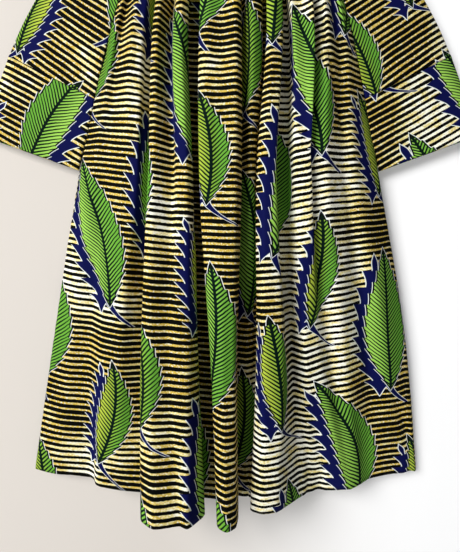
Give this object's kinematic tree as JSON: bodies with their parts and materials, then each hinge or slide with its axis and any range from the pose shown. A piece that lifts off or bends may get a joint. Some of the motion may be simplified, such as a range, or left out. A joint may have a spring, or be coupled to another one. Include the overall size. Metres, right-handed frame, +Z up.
{
  "type": "bell sleeve dress on a hanger",
  "caption": "Tent-cut cotton dress with a gathered neck, raglan sleeves with flared bell tiers and deep front folds, hanging on a plain wooden hanger.",
  "frame": {"origin": "inside top of the hanger's hook, where a nail or rail carries it", "axes": "+X to the right of the dress as seen from its front, +Y to its back, +Z up"},
  "size_m": [0.8492, 0.1349, 1.1432],
  "materials": {
    "printed_cotton": "plain-woven cotton print with a slight sheen",
    "band_cotton": "plain-woven cotton, folded double",
    "beech": "satin varnish",
    "steel": "bright plated wire"
  },
  "bodies": {
    "root": {"front_panel": "printed_cotton", "back_panel": "printed_cotton", "sleeve_upper_left": "printed_cotton", "sleeve_upper_right": "printed_cotton", "sleeve_bell_left": "printed_cotton", "sleeve_bell_right": "printed_cotton", "neckband": "band_cotton", "hanger_arms": "beech", "hanger_hook": "steel"}
  },
  "joints": []
}
